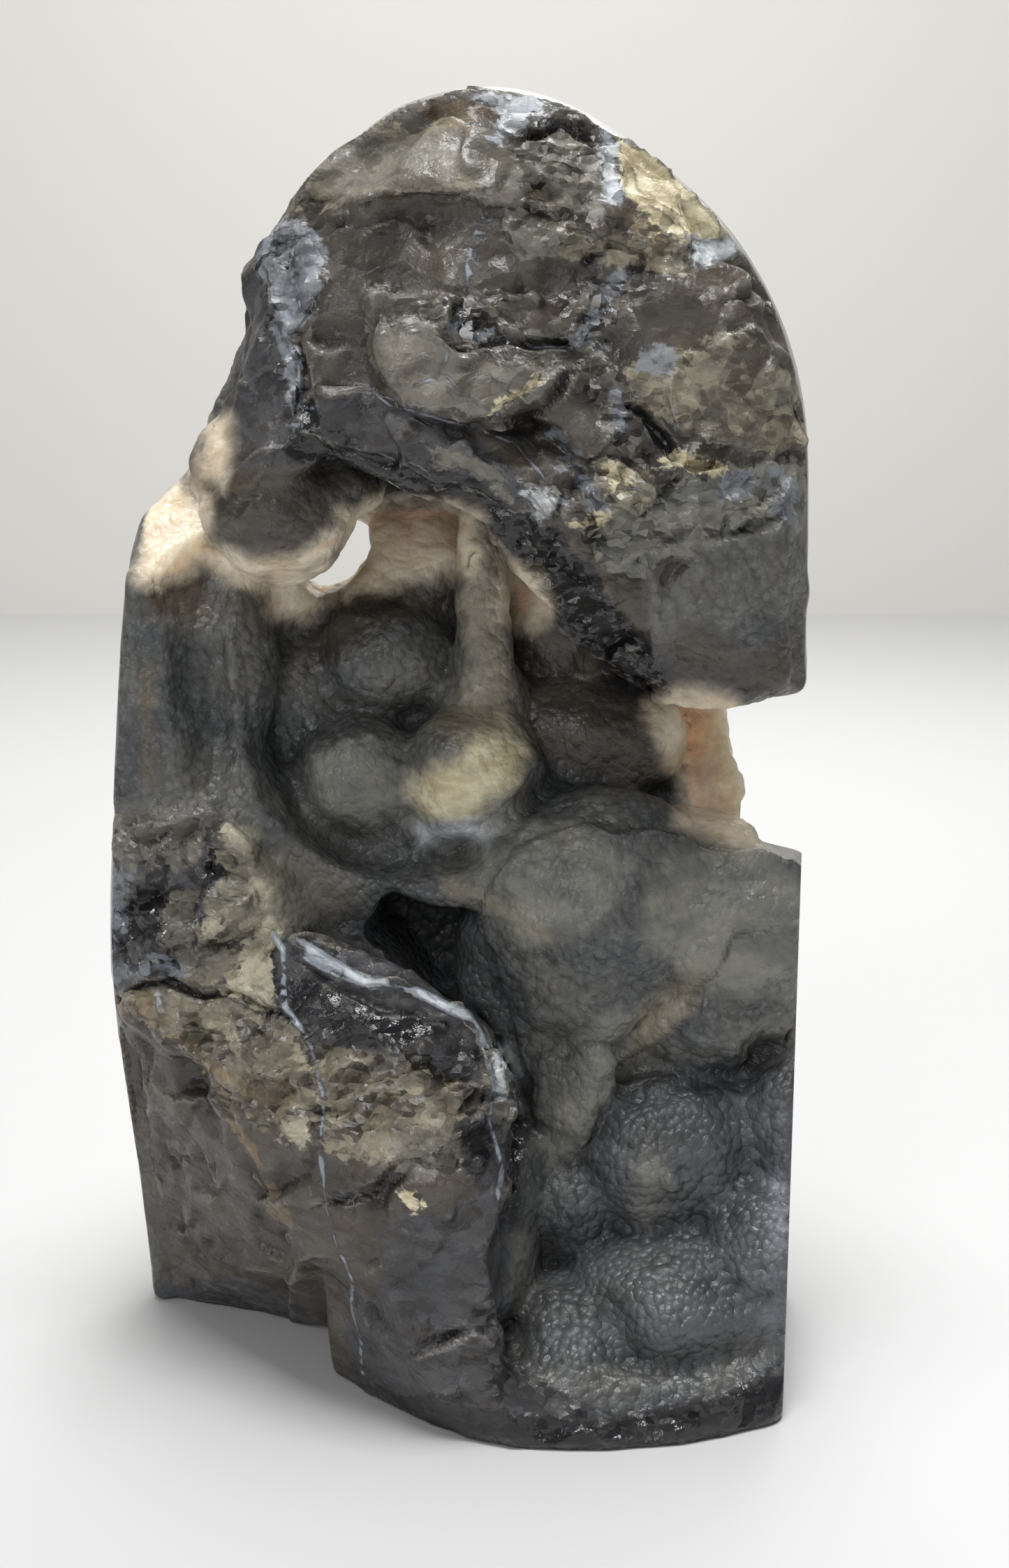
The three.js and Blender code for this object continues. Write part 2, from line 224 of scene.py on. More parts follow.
def sampled(field, points):
    """The field's value at each point, by trilinear interpolation."""
    p = np.clip((points - grid_low) / VOXEL, 0, np.array(field.shape) - 1.001)
    cell = p.astype(int)
    t = p - cell
    value = np.zeros(len(points))
    for corner, share in corner_shares(t):
        i, j, k = (cell + corner).T
        value += share * field[i, j, k]
    return value


# ---- Outlines on the photograph ----
def from_segment(x, y, start, end):
    """How far each place is from a straight line, and where it is nearest: 0 at start, 1 at end."""
    (ax, ay), (bx, by) = start, end
    ex, ey = bx - ax, by - ay
    t = np.clip(((x - ax) * ex + (y - ay) * ey) / (ex * ex + ey * ey), 0, 1)
    return np.hypot(x - ax - t * ex, y - ay - t * ey), t


def area(*corners):
    """A closed outline. Like all of these it gives the depth of each place: positive inside."""
    def depth(x, y):
        nearest = np.full(x.shape, 1e9)
        inside = np.zeros(x.shape, bool)
        for start, end in zip(corners, corners[1:] + corners[:1]):
            nearest = np.minimum(nearest, from_segment(x, y, start, end)[0])
            (ax, ay), (bx, by) = start, end
            crosses = (ay > y) != (by > y)
            inside ^= crosses & (x < ax + (y - ay) * (bx - ax) / ((by - ay) or 1e-9))
        return np.where(inside, nearest, -nearest)
    return depth


def spot(cx, cy, rx, ry, turn=0):
    """An ellipse, turned clockwise by so many degrees."""
    c, s = math.cos(math.radians(turn)), math.sin(math.radians(turn))

    def depth(x, y):
        u, v = ((x - cx) * c + (y - cy) * s) / rx, (-(x - cx) * s + (y - cy) * c) / ry
        return (1 - np.hypot(u, v)) * min(rx, ry)
    return depth


def line(width, *points):
    """A band about a line of points, half as wide on each side."""
    def depth(x, y):
        away = [from_segment(x, y, start, end)[0] for start, end in zip(points, points[1:])]
        return width / 2 - np.min(away, axis=0)
    return depth


def crack(width, *points):
    """A band about a line of points, widest in its middle and running out at both ends."""
    lengths = [math.dist(a, b) for a, b in zip(points, points[1:])]

    def depth(x, y):
        best = np.full(x.shape, -1e9)
        passed = 0.0
        for start, end, length in zip(points, points[1:], lengths):
            away, t = from_segment(x, y, start, end)
            half = width / 2 * np.sin(math.pi * (passed + t * length) / sum(lengths)) ** 0.6
            best = np.maximum(best, half - away)
            passed += length
        return best
    return depth


def any_of(zones, x, y):
    """How deep each place is in the nearest of the zones, in mm; negative outside."""
    return np.max([zone(x, y) for zone in zones.values()], axis=0) / PIXELS_PER_MM


# Where the front is broken rock. Everywhere else it is lined with fine crystal, or polished.
ROCK = {
    "brow": area((300, 720), (262, 690), (262, 600), (330, 520), (330, 300), (520, 120), (900, 120),
        (1160, 520), (1160, 720), (1110, 756), (1040, 770), (980, 812), (952, 850), (925, 800), (932, 950),
        (965, 1000), (860, 975), (770, 860), (700, 770), (600, 690), (500, 650), (430, 660), (400, 640),
        (340, 740)),
    "lower_left": area((130, 1160), (240, 1175), (310, 1165), (372, 1215), (350, 1330), (420, 1330),
        (520, 1345), (640, 1400), (712, 1480), (742, 1560), (735, 1700), (700, 1800), (735, 1960),
        (880, 2030), (1040, 2000), (1170, 1920), (1170, 2120), (120, 2120)),
}

# Where the broken rock is shattered into small chips, not smooth faces.
SHATTERED = {
    "crown_vug": spot(812, 232, 58, 66, 0),
    "crown_rim": line(60, (760, 300), (840, 330), (900, 350), (950, 350)),
    "pit": spot(672, 462, 44, 34),
    "veins": line(70, (900, 400), (866, 430), (840, 480)),
    "right_ledge": line(60, (860, 560), (900, 620), (890, 700), (830, 700), (940, 690)),
    "cheek_top": line(90, (880, 750), (960, 740), (1060, 720), (1130, 700)),
    "arch_band": line(76, (760, 780), (830, 860), (900, 940), (930, 970)),
    "left_mass": spot(410, 440, 40, 130, 5),
    "left_rock": area((150, 1190), (290, 1180), (345, 1230), (330, 1370), (250, 1410), (150, 1400)),
    "boulder_top": area((210, 1420), (400, 1450), (520, 1490), (640, 1500), (735, 1500), (740, 1620),
        (680, 1680), (560, 1640), (470, 1640), (400, 1600), (330, 1580), (270, 1510)),
    "base_left": spot(300, 1860, 110, 24, 10),
    "valley_foot": line(50, (700, 1880), (780, 1960), (900, 2010)),
    "foot_edge": line(64, (740, 1970), (880, 2020), (1030, 1990), (1160, 1900)),
}

# Lines that the steps, the colours and the veins share.
COURSES = {
    "crown_vug": [(763, 191), (802, 186), (834, 197), (858, 213)],
    "inner_cut": [(640, 488), (682, 502), (740, 498), (818, 486)],
    "low_crack": [(457, 1724), (500, 1722), (546, 1712)],
    "shoulder_gap": [(1146, 1480), (1080, 1516), (1000, 1546), (900, 1566)],
    "cave_ridge": [(306, 1153), (330, 1110), (340, 1060), (335, 960), (340, 850)],
}

# Outlines that the steps and the colours share.
OUTLINES = {
    "oval": area((718, 289), (731, 300), (775, 300), (807, 327), (802, 354), (764, 365), (740, 360),
        (722, 330)),
    "small_flake_top": area((533, 402), (556, 404), (570, 424), (548, 426)),
    "small_flake_low": area((587, 448), (632, 428), (634, 444), (600, 460)),
    "big_flake": area((536, 449), (556, 466), (590, 460), (622, 462), (641, 484), (676, 492), (720, 528),
        (760, 524), (802, 521), (796, 545), (763, 580), (731, 598), (676, 604), (648, 588), (580, 578),
        (557, 545), (538, 500)),
    "tan_chips": area((839, 664), (880, 657), (925, 690), (942, 720), (900, 739), (856, 720)),
    "arch_chip": area((756, 716), (790, 700), (802, 714), (778, 742)),
    "left_leaf": area((301, 1218), (325, 1226), (337, 1247), (337, 1259), (309, 1263), (297, 1247)),
    "left_plates": area((285, 1311), (301, 1279), (321, 1263), (357, 1267), (369, 1291), (369, 1323),
        (353, 1343), (317, 1347), (293, 1347)),
    "cream_chip": area((317, 1411), (349, 1411), (381, 1419), (397, 1431), (389, 1452), (365, 1440),
        (333, 1427)),
    "shard_a": area((691, 1508), (719, 1502), (727, 1560), (695, 1556)),
    "shard_b": area((699, 1576), (731, 1570), (739, 1596), (727, 1610), (691, 1592)),
}

# Parts of the front that stand out or are sunk: by how many mm, half the width of the edge, and where.
STEPS = {
    "crown": (0.7, 0.45, area((380, 150), (340, 300), (427, 292), (492, 290), (560, 282), (612, 280),
        (709, 284), (760, 304), (818, 332), (900, 360), (960, 366), (990, 344), (960, 240), (860, 140),
        (700, 100), (500, 120))),
    "crown_vug": (-1.3, 0.5, crack(18, *COURSES["crown_vug"])),
    "crown_pocket": (-1.2, 0.5, spot(770, 282, 26, 12, 20)),
    "crown_cream": (0.5, 0.45, area((888, 202), (932, 218), (1002, 273), (1040, 338), (980, 338),
        (926, 294), (896, 240))),
    "oval": (0.5, 0.45, OUTLINES["oval"]),
    "small_flake_top": (0.5, 0.45, OUTLINES["small_flake_top"]),
    "small_flake_low": (0.6, 0.45, OUTLINES["small_flake_low"]),
    "pit": (-0.8, 0.5, area((655, 430), (672, 446), (700, 470), (709, 492), (660, 492), (633, 482),
        (648, 462))),
    "inner_cut": (-1.2, 0.45, crack(14, *COURSES["inner_cut"])),
    "big_flake": (0.6, 0.45, OUTLINES["big_flake"]),
    "flake_ledge": (0.8, 0.45, area((700, 604), (730, 575), (770, 540), (806, 520), (800, 552), (764, 590),
        (724, 612))),
    "right_block": (0.7, 0.45, area((968, 510), (1060, 470), (1130, 540), (1150, 640), (1100, 650),
        (1020, 640), (975, 610), (962, 560))),
    "right_crack": (-1.8, 0.5, crack(18, (897, 592), (930, 600), (950, 640), (972, 662), (1039, 670))),
    "tan_chips": (0.8, 0.45, OUTLINES["tan_chips"]),
    "cream_ledge": (0.7, 0.45, line(16, (948, 672), (985, 662), (1029, 676))),
    "arch_lip": (0.5, 0.45, area((405, 575), (470, 560), (530, 556), (600, 590), (680, 640), (760, 700),
        (795, 740), (760, 745), (690, 710), (620, 680), (540, 640), (440, 620))),
    "arch_chip": (0.8, 0.45, OUTLINES["arch_chip"]),
    "left_slab": (0.8, 0.45, area((379, 350), (395, 327), (428, 321), (447, 338), (466, 381), (468, 414),
        (447, 451), (411, 484), (390, 435))),
    "left_window": (-0.9, 0.45, area((402, 356), (420, 352), (428, 376), (414, 394), (402, 380))),
    "left_crack": (-1.2, 0.45, crack(11, (430, 490), (436, 540), (424, 600))),
    "wall_hole": (-0.8, 0.8, spot(590, 768, 40, 10, -30)),
    "wall_ridge": (0.8, 1.1, line(18, *COURSES["cave_ridge"])),
    "rock_crack": (-1.3, 0.45, crack(12, (158, 1430), (207, 1414), (247, 1409), (288, 1427), (323, 1418),
        (368, 1440), (412, 1454))),
    "left_leaf": (-0.9, 0.45, OUTLINES["left_leaf"]),
    "left_plates": (0.7, 0.45, OUTLINES["left_plates"]),
    "cream_chip": (0.6, 0.45, OUTLINES["cream_chip"]),
    "smooth_left": (-0.6, 0.45, area((120, 1440), (164, 1436), (220, 1480), (273, 1518), (320, 1570),
        (359, 1679), (386, 1733), (412, 1751), (420, 1900), (120, 1900))),
    "ribbon": (0.6, 0.45, line(17, (421, 1347), (471, 1362), (500, 1388), (535, 1408), (566, 1404),
        (604, 1424), (652, 1446), (682, 1470), (699, 1504))),
    "glass_groove": (-0.7, 0.5, crack(14, (430, 1378), (490, 1410), (540, 1436), (600, 1450), (650, 1478))),
    "shard_a": (0.9, 0.45, OUTLINES["shard_a"]),
    "shard_b": (0.9, 0.45, OUTLINES["shard_b"]),
    "low_crack": (-0.5, 0.45, crack(7, *COURSES["low_crack"])),
    "crust": (1.0, 0.5, area((867, 1541), (899, 1519), (924, 1494), (939, 1481), (971, 1469), (985, 1450),
        (985, 1422), (996, 1409), (1027, 1381), (1052, 1330), (1240, 1300), (1240, 1225), (1000, 1215),
        (900, 1180), (760, 1200), (700, 1250), (690, 1330), (720, 1420), (745, 1500), (770, 1600),
        (830, 1640))),
    "droplet": (1.3, 0.8, spot(1052, 1512, 17, 19)),
    "bead": (1.0, 0.6, spot(957, 1693, 13, 13)),
    "shoulder_gap": (-1.2, 1.3, line(26, *COURSES["shoulder_gap"])),
}

ZONES = {
    # smooth blue-grey slate
    "slate": {
        "left_pillars": area((352, 381), (379, 350), (392, 440), (412, 486), (428, 511), (424, 600),
            (411, 650), (330, 680), (330, 560)),
        "arch_lip": area((405, 575), (470, 560), (530, 556), (600, 590), (680, 640), (760, 700), (795, 740),
            (760, 760), (690, 725), (620, 690), (540, 650), (440, 630)),
        "left_ledge": area((158, 1379), (248, 1375), (262, 1404), (247, 1409), (207, 1414), (158, 1426)),
        "left_edge": area((150, 1240), (190, 1230), (200, 1330), (180, 1370), (150, 1370)),
        "left_rock": area((150, 1180), (290, 1170), (336, 1236), (300, 1330), (262, 1404), (150, 1380)),
        "boulder_glass": area((361, 1339), (397, 1327), (437, 1327), (478, 1355), (542, 1379), (594, 1411),
            (643, 1436), (679, 1452), (703, 1500), (700, 1560), (643, 1540), (600, 1500), (522, 1492),
            (446, 1484), (421, 1464), (405, 1436), (397, 1395)),
        "boulder_right": area((659, 1604), (700, 1590), (730, 1640), (735, 1900), (690, 1860), (672, 1700)),
        "foot": area((500, 1880), (560, 1840), (640, 1860), (717, 1930), (804, 1990), (886, 2024),
            (1034, 2000), (1150, 1915), (1150, 2120), (520, 2120)),
        "base_left": area((200, 1830), (300, 1840), (440, 1860), (440, 1900), (200, 1900)),
        "lower_grey": area((560, 1760), (700, 1700), (740, 1900), (640, 1980), (560, 1900)),
    },
    # tan to golden rock
    "tan": {
        "crown_left": area((427, 292), (465, 200), (520, 180), (600, 190), (680, 170), (712, 200),
            (700, 262), (640, 276), (560, 270), (492, 288)),
        "crown_rim": line(44, (760, 306), (840, 338), (900, 356), (960, 366)),
        "right_chips": OUTLINES["tan_chips"],
        "right_plates": area((900, 540), (968, 510), (1060, 470), (1130, 540), (1150, 640), (1100, 650),
            (1020, 640), (975, 610), (930, 600)),
        "boulder_top": area((164, 1427), (216, 1411), (277, 1419), (317, 1427), (389, 1456), (421, 1468),
            (446, 1532), (462, 1612), (421, 1628), (365, 1604), (313, 1556), (273, 1516), (220, 1476)),
        "boulder_mid": area((446, 1520), (520, 1500), (600, 1520), (660, 1560), (670, 1650), (560, 1670),
            (470, 1660)),
        "little_plates": area((253, 1355), (300, 1350), (341, 1355), (345, 1400), (300, 1411), (262, 1404)),
    },
    # dark glassy chert, and painted shade in hollows: the cracks, the vug, under the inner cut's overhang,
    # the valley, the shoulder gap and the hole in the cave wall
    "dark": {
        "arch_under": line(46, (430, 640), (520, 655), (600, 690), (680, 720), (760, 775)),
        "arch_band": line(78, (760, 780), (830, 860), (900, 945), (930, 970)),
        "neck": area((425, 571), (470, 560), (520, 560), (500, 640), (420, 640)),
        "inner_cut": crack(18, *COURSES["inner_cut"]),
        "pit": area((655, 430), (672, 446), (700, 470), (709, 496), (660, 496), (633, 482), (648, 462)),
        "right_crack": crack(20, (897, 592), (930, 600), (950, 640), (972, 664), (1039, 672)),
        "vug": crack(20, *COURSES["crown_vug"]),
        "rock_crack": crack(14, (158, 1432), (207, 1416), (247, 1411), (288, 1429), (323, 1420),
            (368, 1442), (412, 1456)),
        "left_leaf": OUTLINES["left_leaf"],
        "left_rock": area((150, 1290), (236, 1262), (262, 1290), (240, 1360), (170, 1370)),
        "glass": area((370, 1345), (400, 1335), (412, 1400), (470, 1420), (520, 1440), (600, 1460),
            (650, 1480), (600, 1490), (500, 1485), (430, 1460), (400, 1420)),
        "eye": spot(655, 1498, 24, 16, 20),
        "right_navy": area((659, 1604), (711, 1610), (711, 1660), (680, 1680)),
        "valley": line(24, (744, 1560), (740, 1640), (734, 1740)),
        "shoulder_gap": line(8, *COURSES["shoulder_gap"]),
        "low_crack": crack(6, *COURSES["low_crack"]),
        "wall_hole_shade": line(13, (540, 780), (580, 768), (632, 746)),
        "foot": area((440, 1960), (560, 2000), (700, 2010), (860, 2050), (1000, 2020), (1150, 1960),
            (1150, 2120), (440, 2120)),
    },
    # blue-grey chalcedony, and painted glints along the left rock's edge
    "blue": {
        "pit": line(20, (640, 484), (664, 470), (690, 486)),
        "middle": line(16, (890, 560), (896, 600), (884, 640)),
        "lower": line(18, (800, 640), (826, 690), (846, 730)),
        "cheek": line(26, (1050, 700), (1110, 690), (1140, 740)),
        # painted glints along the edge
        "edge_glints": line(26, (170, 1230), (176, 1300), (170, 1350)),
        "ribbon_end": line(14, (690, 1490), (712, 1540), (704, 1600)),
        "ledge": line(16, (165, 1392), (230, 1384), (256, 1392)),
        "right_edge": spot(1114, 1765, 16, 120),
    },
    # solid pale blue-grey chalcedony
    "mist": {
        "left_slab": area((372, 360), (395, 322), (430, 314), (452, 336), (470, 381), (472, 414),
            (449, 456), (411, 494), (386, 435)),
        "slab_tail": line(22, (400, 470), (424, 520), (424, 590)),
        "right_plate": area((921, 512), (964, 508), (960, 544), (926, 546)),
        "veins": line(12, (886, 400), (862, 440), (840, 486)),
    },
    # ochre and brown stains
    "ochre": {
        "below_cream": area((905, 273), (926, 294), (953, 321), (940, 350), (910, 330), (896, 300)),
        "crown_brown": area((601, 160), (640, 143), (700, 146), (726, 170), (716, 180), (650, 176)),
        "stripe": line(9, (375, 1225), (379, 1280), (377, 1322)),
        "boulder_corner": line(26, (166, 1440), (200, 1440), (240, 1462)),
        "boulder_brown": area((341, 1548), (380, 1545), (413, 1556), (413, 1590), (370, 1600)),
        "ridge": line(12, (176, 1446), (240, 1484), (290, 1530), (330, 1582), (364, 1680), (400, 1745)),
        "lobe": line(26, (240, 750), (290, 790), (350, 830), (400, 846)),
        "fold": line(22, (676, 1066), (716, 1080), (744, 1130)),
        "wall_rim": line(12, (204, 950), (200, 1040), (204, 1130)),
    },
    # paler greenish-grey lining
    "sage": {
        "shoulder_left": spot(790, 1262, 110, 92),
        "shoulder_right": spot(1040, 1320, 118, 112),
        "second_lump": spot(508, 1122, 62, 48),
        "third_lump": spot(655, 1150, 90, 70),
        "low_lump": spot(926, 1690, 22, 48),
        "cheek_top": line(100, (900, 770), (960, 750), (1060, 720), (1130, 710)),
        "fold": line(60, (880, 1480), (820, 1580), (800, 1640)),
    },
    # translucent brown lining
    "umber": {
        "lobe": area((262, 720), (330, 700), (420, 690), (470, 720), (490, 780), (440, 830), (360, 840),
            (290, 800)),
        "behind_column": area((440, 880), (480, 830), (560, 800), (660, 800), (662, 860), (560, 880),
            (470, 950), (436, 960)),
        "right_of_column": area((728, 800), (800, 880), (880, 960), (940, 1010), (960, 1100), (880, 1120),
            (760, 1060), (736, 940)),
        "arch_roof": line(40, (330, 700), (420, 680), (520, 690), (620, 730)),
        "cheek_low": area((944, 930), (1000, 900), (1080, 930), (1150, 900), (1150, 990), (960, 990)),
        "wall_top": area((196, 760), (260, 800), (300, 840), (300, 900), (230, 880), (190, 880)),
    },
    # pale grey flakes
    "pale": {
        # paler partly as painted light on its upturned face
        "big_flake": OUTLINES["big_flake"],
        "left_rock_top": area((160, 1170), (240, 1160), (300, 1186), (284, 1236), (220, 1244), (160, 1232)),
        "left_rock_low": area((236, 1290), (290, 1276), (286, 1340), (250, 1356)),
        "oval": OUTLINES["oval"],
        "small_flake_top": OUTLINES["small_flake_top"],
        "small_flake_low": OUTLINES["small_flake_low"],
        "crown_lump": area((465, 212), (520, 196), (560, 210), (640, 190), (700, 200), (690, 250),
            (620, 246), (540, 262), (480, 280), (450, 260)),
        "below_vug": area((764, 214), (830, 206), (872, 240), (890, 290), (850, 300), (790, 280),
            (764, 250)),
        "grey_plate": area((381, 1210), (421, 1210), (474, 1243), (518, 1271), (506, 1299), (446, 1311),
            (437, 1327), (393, 1331), (385, 1291)),
        "right_pale": area((558, 1626), (600, 1612), (659, 1624), (655, 1660), (590, 1668)),
        "shard_a": OUTLINES["shard_a"],
        "shard_b": OUTLINES["shard_b"],
        "crown_side": line(44, (712, 206), (724, 250), (732, 286)),
        "arch_edge": line(6, (609, 644), (655, 657), (709, 684), (742, 728)),
        "little_plates": area((262, 1360), (300, 1356), (334, 1366), (320, 1396), (280, 1400)),
    },
    # pale brown lining
    "fawn": {
        "column": area((672, 735), (716, 760), (724, 860), (728, 986), (736, 1040), (630, 1040), (664, 986),
            (668, 860)),
        "crust_patch": area((920, 1450), (980, 1396), (1004, 1404), (990, 1456), (940, 1494), (900, 1510)),
        "fold_edge": line(14, (640, 1270), (720, 1290), (790, 1340)),
    },
    # cool dark lining; deep in the hollow it is painted shade
    "smoke": {
        "deep_hollow": area((398, 1200), (450, 1212), (530, 1250), (620, 1262), (700, 1310), (745, 1410),
            (765, 1520), (735, 1620), (712, 1500), (660, 1440), (560, 1400), (486, 1352), (526, 1284),
            (480, 1256), (420, 1228)),
        "low_lumps": area((860, 1570), (1000, 1530), (1160, 1490), (1160, 1900), (1000, 1980), (780, 1960),
            (760, 1860), (830, 1740)),
    },
    # cream to pale yellow
    "cream": {
        "crown_cream": area((888, 202), (915, 208), (932, 218), (964, 240), (1002, 273), (1035, 327),
            (1040, 338), (1002, 335), (980, 338), (953, 321), (926, 294), (905, 273), (896, 240)),
        "right_ledge": line(12, (950, 672), (985, 662), (1029, 676)),
        "right_chip": area((850, 672), (880, 664), (905, 690), (890, 712), (860, 704)),
        "ledge_left": spot(832, 746, 20, 12, 20),
        "flake_strip": line(7, (704, 600), (740, 570), (800, 530)),
        "bright_lump": spot(655, 1130, 60, 41, -8),
        "bright_fold": spot(712, 1090, 44, 50, 10),
        "tan_chip": area((579, 1718), (600, 1712), (612, 1726), (596, 1740), (582, 1734)),
    },
    # dull cream
    "bone": {
        "left_band": area((325, 1186), (365, 1190), (396, 1235), (400, 1340), (365, 1350), (350, 1271),
            (335, 1263), (325, 1226)),
        "band_foot": area((340, 1330), (392, 1330), (400, 1400), (404, 1450), (372, 1440), (350, 1390)),
        "left_plates": OUTLINES["left_plates"],
        "cream_chip": OUTLINES["cream_chip"],
        "boulder_patch": area((301, 1472), (329, 1472), (353, 1488), (341, 1504), (309, 1492)),
        "boulder_yellow": spot(430, 1612, 12, 20),
    },
    # thin walls and the cave's upper lumps: painted light shining through the thin walls and in through the
    # cave's openings, over their own beige; subsurface scattering adds some real glow
    "beige": {
        "left_gap": area((385, 806), (440, 830), (478, 816), (482, 860), (430, 884), (392, 870)),
        "upper_lobe": area((490, 735), (560, 716), (640, 724), (682, 740), (670, 790), (600, 800),
            (520, 815), (500, 780)),
        "edge_of_lump": line(40, (500, 830), (560, 800), (640, 792), (668, 800)),
        "right_of_column": area((728, 800), (765, 830), (790, 880), (760, 905), (728, 900)),
        "right_wall": area((935, 1020), (970, 1000), (1060, 1000), (1070, 1050), (1090, 1120), (1090, 1170),
            (1100, 1210), (1050, 1204), (975, 1184), (980, 1110), (945, 1070)),
        "left_flake": area((276, 690), (296, 616), (318, 606), (322, 640), (316, 700)),
        "left_shoulder": area((190, 830), (210, 720), (256, 690), (290, 730), (300, 800), (250, 830)),
        "lobe_bottom": line(26, (300, 792), (360, 828), (430, 816), (488, 786)),
    },
    # white chalcedony
    "white": {
        "crown_patch": area((677, 134), (709, 132), (796, 131), (815, 142), (802, 156), (764, 162),
            (764, 175), (758, 197), (731, 191), (720, 218), (709, 208), (723, 170), (709, 148)),
        "crown_strip": area((864, 164), (877, 197), (888, 218), (880, 245), (904, 273), (894, 294),
            (866, 280), (872, 240), (864, 213), (856, 191)),
        "right_of_cream": area((980, 327), (1051, 338), (1067, 362), (1024, 365), (1002, 386), (980, 370),
            (986, 348)),
        "drips": area((590, 1180), (640, 1188), (700, 1180), (690, 1206), (650, 1212), (600, 1206)),
        "chip_rim": line(7, (720, 1500), (727, 1530), (716, 1568), (736, 1590)),
        "arch_chip": OUTLINES["arch_chip"],
        "boulder_patch": area((220, 1431), (240, 1448), (236, 1460), (224, 1452)),
    },
}

SOFT_ZONES = ("smoke", "fawn", "beige")  # these have soft edges everywhere

# Thin white veins of chalcedony: half a width in mm, and the line on the photograph.
VEINS = {
    "brow_left": (0.18, [(692, 307), (679, 345), (667, 387), (660, 464)]),
    "brow_right": (0.08, [(704, 306), (690, 345), (675, 398)]),
    "arch_top": (0.1, [(400, 578), (440, 582), (490, 582), (530, 556), (560, 582), (640, 600), (700, 622),
        (740, 640), (780, 690)]),
    "arch_drop": (0.1, [(644, 556), (655, 600), (640, 648)]),
    "left_mass": (0.1, [(418, 484), (430, 520), (418, 556), (420, 600)]),
    "boulder_top": (0.42, [(390, 1336), (404, 1358), (408, 1403), (413, 1443), (430, 1470)]),
    "boulder": (0.2, [(430, 1470), (448, 1501), (457, 1537), (464, 1577), (457, 1621), (462, 1715),
        (479, 1782), (493, 1804)]),
    "boulder_low": (0.16, [(493, 1804), (504, 1836), (508, 1876), (517, 1925), (520, 1970)]),
    "boulder_faint": (0.05, [(591, 1885), (596, 1925), (587, 1956), (538, 1974)]),
    "boulder_right": (0.25, [(690, 1490), (703, 1540), (703, 1608), (721, 1666), (716, 1720)]),
    "ribbon": (0.3, [(424, 1345), (462, 1360), (500, 1386), (540, 1408), (590, 1420), (640, 1442),
        (680, 1462), (700, 1500)]),
    "ribbon_start": (0.62, [(446, 1356), (484, 1380), (524, 1406), (552, 1408)]),
    "ribbon_bright": (0.7, [(596, 1420), (634, 1438), (668, 1452)]),
    "ribbon_fold": (0.2, [(440, 1366), (480, 1392), (520, 1414), (548, 1416)]),
    "slab_inner": (0.2, [(440, 330), (462, 378), (464, 414), (444, 450), (412, 484)]),
    "slab_outer": (0.14, [(396, 326), (382, 381), (394, 440), (404, 470)]),
    "slab_middle": (0.06, [(420, 330), (414, 400), (430, 440)]),
    "pillar": (0.2, [(404, 466), (428, 511), (425, 571), (411, 641)]),
    "net_long": (0.12, [(910, 384), (880, 424), (852, 470), (816, 492), (760, 500)]),
    "net_cross": (0.08, [(848, 410), (872, 430), (884, 470), (880, 520)]),
    "net_short": (0.08, [(900, 440), (866, 446), (838, 466)]),
    "net_low": (0.05, [(926, 400), (920, 440), (884, 486)]),
    "flake": (0.12, [(641, 484), (634, 520), (612, 548), (590, 556)]),
    "brow_cross": (0.04, [(846, 480), (880, 520), (906, 560), (896, 610)]),
    "brow_long": (0.04, [(600, 552), (640, 540), (700, 590), (760, 640), (830, 700)]),
    "cheek_line": (0.06, [(900, 700), (950, 716), (1010, 706), (1060, 720), (1080, 770), (1070, 840)]),
    "cheek_low": (0.02, [(1110, 690), (1130, 760), (1120, 850)]),
    "base_line": (0.05, [(930, 2010), (1000, 1990), (1060, 1956), (1130, 1900)]),
    "cave_left": (-0.02, COURSES["cave_ridge"]),
}


def vein_distance(x, y):
    """How far each place is from the edge of the nearest vein, in mm; negative inside it."""
    away = [-line(0, *course)(x, y) / PIXELS_PER_MM - half for half, course in VEINS.values()]
    return np.min(away, axis=0)


# ---- The stone's surface ----
DOME_CENTRE, DOME_RADII = np.array([0.0, -6.0, 65.0]), np.array([62.0, 30.0, 110.0])
ARCH_HALF, ARCH_START, ARCH_RISE = 43, 106, 44  # half width, the height where the arch starts, its rise
CORE_CENTRE, CORE_SHAPE = np.array([2, 4, 70]), np.array([1.0, 0.7, 1.5])  # the bands go round this
BEHIND = 4.0  # past this y the rough front gives way to the cave's inside or the polished back


def arch_reach(points):
    """How far out each point is, seen from the front: 1 on the arched outline."""
    return np.hypot(points[:, 0] / ARCH_HALF, np.maximum(points[:, 2] - ARCH_START, 0) / ARCH_RISE)


def polish_share(points, normals):
    """1 on the polished dome and sides, 0 on the rough front."""
    shell = np.linalg.norm((points - DOME_CENTRE) / DOME_RADII, axis=1)
    dome = ramp(shell, 0.975, 0.99) * ramp(normals[:, 1], -0.05, 0.08)
    rim = ramp(points[:, 1], -4.6, -3.6) * ramp(np.abs(normals[:, 1]), 0.75, 0.55)
    return np.clip(np.maximum(dome, rim * ramp(arch_reach(points), 0.84, 0.9)), 0, 1)


def rock_share(points):
    """1 where the front is broken rock, 0 on the crystal lining."""
    x, y = in_photo(points)
    return ramp(any_of(ROCK, x, y), -0.8, 0.8) * (1 - ramp(points[:, 1], BEHIND - 3, BEHIND + 3))


def normals_of(points, faces):
    """The normal at each point, weighted by the area of the faces around it."""
    corners = points[faces]
    normal = np.cross(corners[:, 1] - corners[:, 0], corners[:, 2] - corners[:, 0])
    total = np.zeros_like(points)
    for k in range(3):
        for axis in range(3):
            total[:, axis] += np.bincount(faces[:, k], normal[:, axis], len(points))
    return total / np.maximum(np.linalg.norm(total, axis=1, keepdims=True), 1e-9)


def shattered_share(points):
    """1 where the rock is shattered into chips."""
    x, y = in_photo(warp(points, 7.0, 1.0, 73))
    return ramp(any_of(SHATTERED, x, y), -1.5, 1.5) * rock_share(points)


